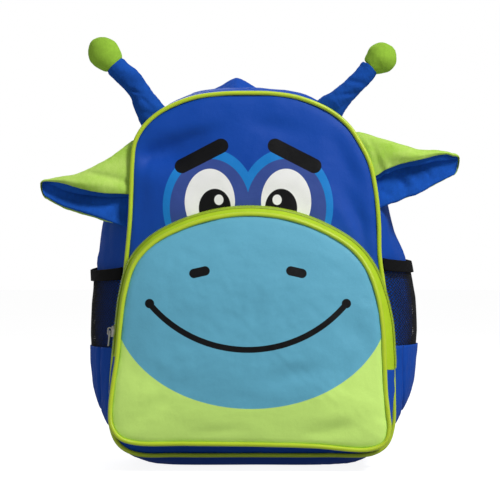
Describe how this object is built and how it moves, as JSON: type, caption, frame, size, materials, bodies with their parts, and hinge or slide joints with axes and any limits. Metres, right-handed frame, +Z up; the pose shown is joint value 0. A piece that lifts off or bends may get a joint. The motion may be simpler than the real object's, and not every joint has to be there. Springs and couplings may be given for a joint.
{
  "type": "kids animal backpack",
  "caption": "Child's backpack shaped as a horned animal's head, with a big zipped front pocket, plush ears and horns, net side pockets and padded shoulder straps.",
  "frame": {"origin": "centre of the object's box, at the level of the flat base it stands on", "axes": "+Z up, the face with its pocket looks along -Y, the shoulder straps are on the +Y side, +X to the right seen from the front"},
  "size_m": [0.418, 0.2282, 0.4322],
  "materials": {
    "printed_cloth_blue": "smooth coated polyester, printed",
    "printed_cloth_lime": "smooth coated polyester, printed",
    "cloth_blue": "woven polyester, matt",
    "piping_lime": "satin bias piping",
    "zip_lime": "woven tape with a nylon coil",
    "plush_blue": "short-pile plush",
    "plush_lime": "short-pile plush",
    "webbing_blue": "woven webbing",
    "net_black": "knitted mesh",
    "elastic_black": "ribbed elastic",
    "webbing_black": "woven webbing",
    "plastic_black": "moulded, satin",
    "metal_silver": "nickel-plated, satin"
  },
  "bodies": {
    "bag": {"back_panel": "cloth_blue", "ear_left_inner": "plush_blue", "ear_left_outer": "plush_lime", "ear_right_inner": "plush_blue", "ear_right_outer": "plush_lime", "grab_handle": "webbing_blue", "horn_left_stalk": "plush_blue", "horn_left_tip": "plush_lime", "horn_right_stalk": "plush_blue", "horn_right_tip": "plush_lime", "main_front_panel": "printed_cloth_blue", "main_gusset": "cloth_blue", "main_piping": "piping_lime", "main_slider": "metal_silver", "main_zipper": "zip_lime", "pocket_front_panel": "printed_cloth_lime", "pocket_gusset": "cloth_blue", "pocket_piping": "piping_lime", "pocket_slider": "metal_silver", "pocket_zipper": "zip_lime", "shoulder_strap_left": "cloth_blue", "shoulder_strap_right": "cloth_blue", "side_band_left": "elastic_black", "side_band_right": "elastic_black", "side_net_left": "net_black", "side_net_right": "net_black", "side_pocket_base_left": "cloth_blue", "side_pocket_base_right": "cloth_blue", "strap_adjuster_left": "plastic_black", "strap_adjuster_right": "plastic_black", "strap_anchor_left": "cloth_blue", "strap_anchor_right": "cloth_blue", "strap_webbing_left": "webbing_black", "strap_webbing_right": "webbing_black"},
    "zip_pull": {"pocket_pull": "metal_silver"}
  },
  "joints": [
    {"name": "pull_swing", "type": "hinge", "parent": "bag", "child": "zip_pull", "pos_m": [-0.13897, -0.07798, 0.1376], "axis": [-0.18, 0.9828, -0.0405], "range_deg": [0, 150]}
  ]
}
